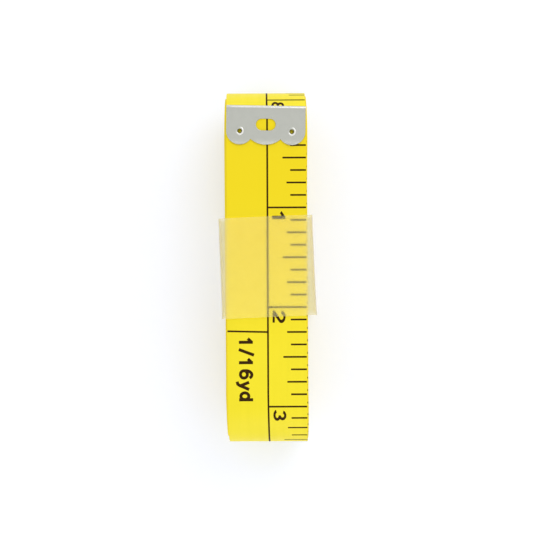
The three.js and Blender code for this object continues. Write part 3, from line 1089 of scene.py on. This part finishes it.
def film_sleeve(sleeve):
    """A tube of film whose ends wave out a little, turned askew."""
    width, reach, height = sleeve_size(sleeve)
    outside = sleeve_section(sleeve, 0)
    inside = sleeve_section(sleeve, sleeve.wall)
    flat = 0.95 * (width - sleeve.bulge - sleeve.corner - sleeve.wall)  # nearer the middle it doesn't wave
    spin = Matrix.Rotation(sleeve.skew + sleeve.twist, 3, "Z")
    middle = Vector(sleeve.slip) + Vector((0, 0, height))
    bm = bmesh.new()

    def swell(number, share):
        """How many times as wide the film is, at a place round it and from -1 to 1 along it."""
        x, z = outside[number]
        turn = 2 * math.pi * number / len(outside)
        wave = sleeve.flare * share**4 * (0.5 + 0.5 * math.sin(FILM_WAVES * turn + 2 * share))
        waved = wave / math.hypot(x, z) if abs(x) > flat else 0
        return 1 + waved - sleeve.taper * (1 + share) / 2 / width

    def ring(section, share):
        """Vertices round one face of the film."""
        places = [(x * swell(number, share), reach * share, z) for number, (x, z) in enumerate(section)]
        return [bm.verts.new(spin @ Vector(place) + middle) for place in places]

    shares = evenly(-1, 1, FILM_STEPS)
    rows = [ring(outside, share) for share in shares]
    rows += [ring(inside, share) for share in reversed(shares)]
    tube_faces(bm, rows, closed=True)
    return bm


# Stage


def soft_box(name, place, size, power):
    """A square lamp that faces the object."""
    lamp = bpy.data.lights.new(name, "AREA")
    lamp.size = size
    lamp.energy = power
    holder = bpy.data.objects.new(name, lamp)
    holder.location = place
    holder.rotation_euler = (-Vector(place)).to_track_quat("-Z", "Y").to_euler()
    bpy.context.scene.collection.objects.link(holder)


def camera_above(stage, face_z):
    """The scene's camera, which looks straight down on the printed face."""
    camera = bpy.data.cameras.new("camera")
    camera.lens = camera.sensor_width * stage.height / stage.across
    camera.clip_start = 1 * MM
    holder = bpy.data.objects.new("camera", camera)
    holder.location = (*stage.aim, face_z + stage.height)
    holder.rotation_euler = (0, 0, stage.roll)
    bpy.context.scene.collection.objects.link(holder)
    bpy.context.scene.camera = holder


# Operators


class TAPEMEASURE_OT_wind_tape(bpy.types.Operator):
    """Winds the tape into its hank and lays its free end on top"""

    bl_idname = "tape_measure.wind_tape"
    bl_label = "Wind Tape"

    def execute(self, context):
        winding = Winding()
        length, seam = winding.tape.length, winding.seam
        cloth, edge = coated_cloth(), cut_edge()
        hank = piece_of("tape_hank", wound_ribbon(winding, seam, length), cloth, edge)
        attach(hank, "hank")
        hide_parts("wound_tape")
        flap = piece_of("tape_free_end_cloth", free_ribbon(winding), cloth, edge)
        even_edges(flap)
        bend_flap(flap)
        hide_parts("tape_free_end")
        return {"FINISHED"}


class TAPEMEASURE_OT_print_scale(bpy.types.Operator):
    """Prints the inch scale and the yard fractions on the tape"""

    bl_idname = "tape_measure.print_scale"
    bl_label = "Print Scale"

    def execute(self, context):
        winding = Winding()
        scale = settings("scale")
        ink = printing_ink()
        half, seam, length = winding.half_width, winding.seam, winding.tape.length
        under, under_end = winding.starts[2:4]

        def front_reading(reading):
            taken_up = smooth_step((reading - under) / (under_end - under))
            return reading - scale.zero + scale.slack * taken_up

        def back_place(across, along, lift):
            place = length - along  # the scale on the back starts at the far end
            return winding.point(across, place, -winding.thickness(place) - lift)

        fine = winding.stations(0, seam, FINE_STEP)
        front = Press(winding.point, BENT_COLUMNS)
        print_scale(front, half, front_reading, COVERED, seam)
        front.long_line(scale.middle, fine)
        bend_flap(piece_of("free_end_print", front.bm, ink))
        back = Press(back_place, BENT_COLUMNS)
        print_scale(back, half, lambda reading: reading, length - seam, length - COVERED, yards=False)
        back.long_line(scale.middle, [length - place for place in fine])
        bend_flap(piece_of("free_end_print_back", back.bm, ink))
        wound = Press(winding.point)
        print_scale(wound, half, front_reading, seam, scale.reach)
        wound.long_line(scale.middle, winding.stations(seam, scale.reach))
        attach(piece_of("hank_print", wound.bm, ink), "hank")
        return {"FINISHED"}


class TAPEMEASURE_OT_fold_tips(bpy.types.Operator):
    """Folds a metal tip over each end of the tape"""

    bl_idname = "tape_measure.fold_tips"
    bl_label = "Fold Tips"

    def execute(self, context):
        winding = Winding()
        tip = settings("tip")
        metal = satin_metal("satin_plate", tip.metal, roughness=(0.2, 0.3))
        rim = satin_metal("cut_rim", tip.cut_metal, roughness=(0.45, 0.6))
        # The fold's lighter metal is a painted highlight.
        fold = satin_metal("rubbed_plate", tip.rubbed_metal, roughness=(0.2, 0.3))
        for node, body, matrix in tip_frames(winding, tip):
            bm = folded_tip(winding, tip)
            bmesh.ops.transform(bm, matrix=matrix, verts=bm.verts)
            piece = piece_of(f"{node}_sheet", bm, metal, rim, fold)
            even_edges(piece)
            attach(piece, body)
            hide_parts(node)
        return {"FINISHED"}


class TAPEMEASURE_OT_set_eyelets(bpy.types.Operator):
    """Sets two eyelets through each tip"""

    bl_idname = "tape_measure.set_eyelets"
    bl_label = "Set Eyelets"

    def execute(self, context):
        winding = Winding()
        tip = settings("tip")
        # The eyelets are the plate's grey, with a painted highlight where their lip stands proud.
        metal = satin_metal("bright_plate", tip.metal, roughness=(0.2, 0.32), rubbed=tip.bright)
        for node, body, matrix in tip_frames(winding, tip):
            for side, (x, y) in zip(("left", "right"), rivet_places(winding, tip)):
                bm = eyelet(winding, tip)
                bmesh.ops.transform(bm, matrix=matrix @ Matrix.Translation((x, y, 0)), verts=bm.verts)
                piece = piece_of(f"{node}_rivet_{side}", bm, metal)
                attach(piece, body)
                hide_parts(f"{node}_eyelet_{side}")
        return {"FINISHED"}


class TAPEMEASURE_OT_fit_sleeve(bpy.types.Operator):
    """Slips the film sleeve round the hank"""

    bl_idname = "tape_measure.fit_sleeve"
    bl_label = "Fit Sleeve"

    def execute(self, context):
        piece = piece_of("film_sleeve", film_sleeve(settings("sleeve")), milky_film())
        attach(piece, "sleeve")
        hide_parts("sleeve")
        return {"FINISHED"}


class TAPEMEASURE_OT_set_stage(bpy.types.Operator):
    """Sets the camera above the hank, with a pale floor and soft light"""

    bl_idname = "tape_measure.set_stage"
    bl_label = "Set Stage"

    def execute(self, context):
        stage = settings("stage")
        winding = Winding()
        camera_above(stage, winding.top_z + winding.half_solid)
        bm = bmesh.new()
        bmesh.ops.create_circle(bm, cap_ends=True, segments=64, radius=4)
        floor = piece_of("floor", bm, pale_floor())
        floor.location.z = -0.05 * MM  # just clear of the film
        soft_box("key", place=(0.28, 0.5, 0.65), size=0.5, power=stage.key)
        soft_box("fill", place=(0, -0.4, 0.13), size=0.2, power=stage.fill)
        context.scene.world = white_world()
        context.scene.view_settings.view_transform = "Standard"
        return {"FINISHED"}


class TAPEMEASURE_PT_panel(bpy.types.Panel):
    """Lists the steps and their settings"""

    bl_idname = "TAPEMEASURE_PT_panel"
    bl_label = "Tape Measure"
    bl_space_type = "VIEW_3D"
    bl_region_type = "UI"
    bl_category = "Tape Measure"

    def draw(self, context):
        for step in STEPS:
            self.layout.operator(step.bl_idname)
        for group in GROUPS:
            box = self.layout.box()
            box.label(text=group.title())
            for name in GROUPS[group].__annotations__:
                box.prop(settings(group), name)


GROUPS = {
    "tape": TapeSettings,
    "scale": ScaleSettings,
    "tip": TipSettings,
    "sleeve": SleeveSettings,
    "stage": StageSettings,
}
STEPS = (
    TAPEMEASURE_OT_set_stage,
    TAPEMEASURE_OT_wind_tape,
    TAPEMEASURE_OT_print_scale,
    TAPEMEASURE_OT_fold_tips,
    TAPEMEASURE_OT_set_eyelets,
    TAPEMEASURE_OT_fit_sleeve,
)


def register():
    for kind in (*GROUPS.values(), *STEPS, TAPEMEASURE_PT_panel):
        bpy.utils.register_class(kind)
    for group, kind in GROUPS.items():
        setattr(bpy.types.Scene, f"tape_measure_{group}", PointerProperty(type=kind))


def unregister():
    for group in GROUPS:
        delattr(bpy.types.Scene, f"tape_measure_{group}")
    for kind in (TAPEMEASURE_PT_panel, *reversed(STEPS), *reversed(GROUPS.values())):
        bpy.utils.unregister_class(kind)


def main():
    register()
    bpy.ops.tape_measure.set_stage()
    bpy.ops.tape_measure.wind_tape()
    bpy.ops.tape_measure.print_scale()
    bpy.ops.tape_measure.fold_tips()
    bpy.ops.tape_measure.set_eyelets()
    bpy.ops.tape_measure.fit_sleeve()


if __name__ == "__main__":
    main()
